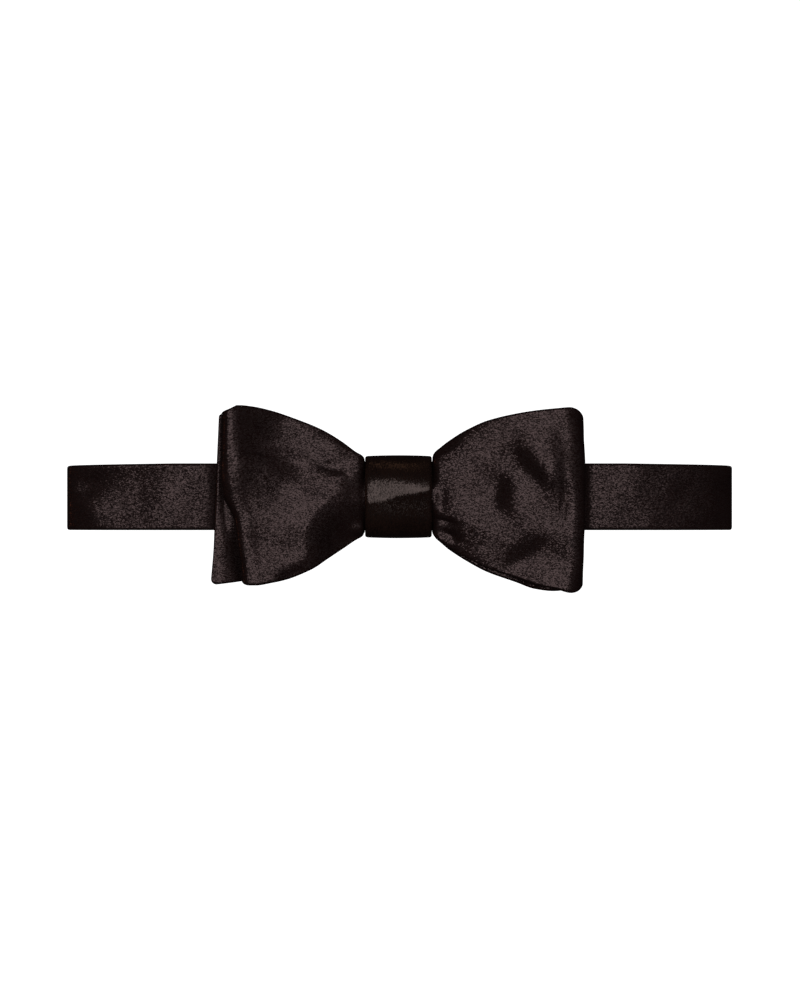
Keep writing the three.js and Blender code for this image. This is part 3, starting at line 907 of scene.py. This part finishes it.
def float_cells(tree, uv):
    """Slanting cells of random colours, one for each float of the weave."""
    turned = add(
        tree,
        "ShaderNodeMapping",
        {"Vector": uv},
        Rotation=(0, 0, math.radians(FLOAT_ANGLE)),
        Scale=(1 / FLOAT_LENGTH, 1 / FLOAT_WIDTH, 1),
    ).outputs["Vector"]
    return add(tree, "ShaderNodeTexVoronoi", {"Vector": turned}, Scale=1).outputs["Color"]


def cloth_tone(tree, glint, soft, dark, light):
    tone = add(tree, "ShaderNodeMath", {0: glint, 1: soft}, operation="MULTIPLY").outputs[0]
    colours = add(tree, "ShaderNodeValToRGB", {"Fac": tone})
    ramp = colours.color_ramp.elements
    for element, place, colour in zip(ramp, TONE_RANGE, (dark, light)):
        element.position = place
        element.color = (*colour, 1)
    return colours.outputs["Color"]


def cloth_roughness(tree, glint, roughness):
    shiny, dull = roughness
    return add(
        tree,
        "ShaderNodeMapRange",
        {"Value": glint},
        From_Min=GLINT_RANGE[0],
        From_Max=GLINT_RANGE[1],
        To_Min=dull,
        To_Max=shiny,
    ).outputs["Result"]


def cloth_normal(tree, floats, soft, tilt):
    """The surface's normal, with soft unevenness and each float's own tilt."""
    uneven = add(tree, "ShaderNodeBump", {"Height": soft}, Strength=1, Distance=SOFT_BUMP)
    centred = add(tree, "ShaderNodeVectorMath", {0: floats}, operation="SUBTRACT")
    centred.inputs[1].default_value = CELL_MIDDLE
    tilted = add(tree, "ShaderNodeVectorMath", {0: centred.outputs[0]}, operation="SCALE")
    tilted.inputs["Scale"].default_value = tilt
    both = {0: uneven.outputs["Normal"], 1: tilted.outputs[0]}
    summed = add(tree, "ShaderNodeVectorMath", both, operation="ADD")
    unit = add(tree, "ShaderNodeVectorMath", {0: summed.outputs[0]}, operation="NORMALIZE")
    return unit.outputs[0]


def satin(name, dark, light, gloss, roughness, tilt):
    """Black satin: fine slanting floats, each with its own tone, gloss and tilt."""
    material = bpy.data.materials.new(name)
    material.use_nodes = True
    tree = material.node_tree
    shader = tree.nodes["Principled BSDF"]
    shader.inputs["Specular IOR Level"].default_value = SPECULAR
    shader.inputs["Specular Tint"].default_value = (*gloss, 1)
    uv = add(tree, "ShaderNodeUVMap", uv_map="cloth").outputs["UV"]
    floats = float_cells(tree, uv)
    glint = add(tree, "ShaderNodeSeparateColor", {"Color": floats}).outputs["Red"]
    soft = add(tree, "ShaderNodeTexNoise", {"Vector": uv}, Scale=SOFT_SCALE, Detail=SOFT_DETAIL)
    soft = soft.outputs["Fac"]
    sockets = {
        "Base Color": cloth_tone(tree, glint, soft, dark, light),
        "Roughness": cloth_roughness(tree, glint, roughness),
        "Normal": cloth_normal(tree, floats, soft, tilt),
    }
    for socket, value in sockets.items():
        tree.links.new(value, shader.inputs[socket])
    return material


def dress(piece, satins, node):
    """Gives a piece its satin, hangs it on the root body and hides the node that it replaces."""
    slot = SLOTS[node]
    piece.data.materials.append(satins[slot])
    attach(piece, "root")
    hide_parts(node)
    return piece


def dress_all():
    satins = {name: satin(name, *looks) for name, looks in SATINS.items()}
    band = dress(neckband(), satins, "neckband")
    back = dress(back_bow(), satins, "back_bow")
    front = dress(front_bow(), satins, "front_bow")
    dress(knot(), satins, "knot")


def aim(thing, place, target):
    """Puts a thing at a place and turns it to face a target."""
    direction = np.array(target, float) - np.array(place, float)
    thing.location = place
    thing.rotation_mode = "XYZ"
    flat = math.hypot(direction[0], direction[1])
    thing.rotation_euler = (
        math.atan2(flat, -direction[2]),
        0,
        math.atan2(-direction[0], direction[1]) if flat > 0 else 0,
    )


def light(name, place, size, power, colour):
    lamp = bpy.data.lights.new(name, "AREA")
    lamp.shape = "DISK"
    lamp.size = size
    lamp.energy = power
    lamp.color = colour
    thing = bpy.data.objects.new(name, lamp)
    bpy.context.collection.objects.link(thing)
    aim(thing, place, LIGHT_TARGET)


def white_floor():
    """A glowing white floor, which neither lights the tie nor shows in its gloss."""
    mesh = bpy.data.meshes.new("floor")
    signs = [(-1, -1), (1, -1), (1, 1), (-1, 1)]
    corners = [(x * FLOOR_REACH, y * FLOOR_REACH, 0) for x, y in signs]
    mesh.from_pydata(corners, [], [(0, 1, 2, 3)])
    floor = bpy.data.objects.new("floor", mesh)
    bpy.context.collection.objects.link(floor)
    material = bpy.data.materials.new("floor_white")
    material.use_nodes = True
    tree = material.node_tree
    tree.nodes.clear()
    glow = add(tree, "ShaderNodeEmission", Color=(1, 1, 1, 1), Strength=FLOOR_GLOW)
    add(tree, "ShaderNodeOutputMaterial", {"Surface": glow.outputs["Emission"]})
    mesh.materials.append(material)
    floor.visible_diffuse = False
    floor.visible_glossy = False
    floor.location.z = -FLOOR_DROP


def surroundings():
    world = bpy.data.worlds.new("world")
    world.use_nodes = True
    back = world.node_tree.nodes["Background"]
    back.inputs["Color"].default_value = WORLD_COLOUR
    back.inputs["Strength"].default_value = WORLD_STRENGTH
    bpy.context.scene.world = world
    bpy.context.scene.view_settings.view_transform = "Standard"


def camera():
    """The photo's view, from straight above."""
    lens = bpy.data.cameras.new("camera")
    lens.lens = LENS
    lens.sensor_width = SENSOR
    lens.clip_start = CLIP_START
    thing = bpy.data.objects.new("camera", lens)
    thing.location = CAMERA_PLACE
    bpy.context.collection.objects.link(thing)
    bpy.context.scene.camera = thing


dress_all()
white_floor()
surroundings()
for lamp in LIGHTS:
    light(*lamp)
camera()
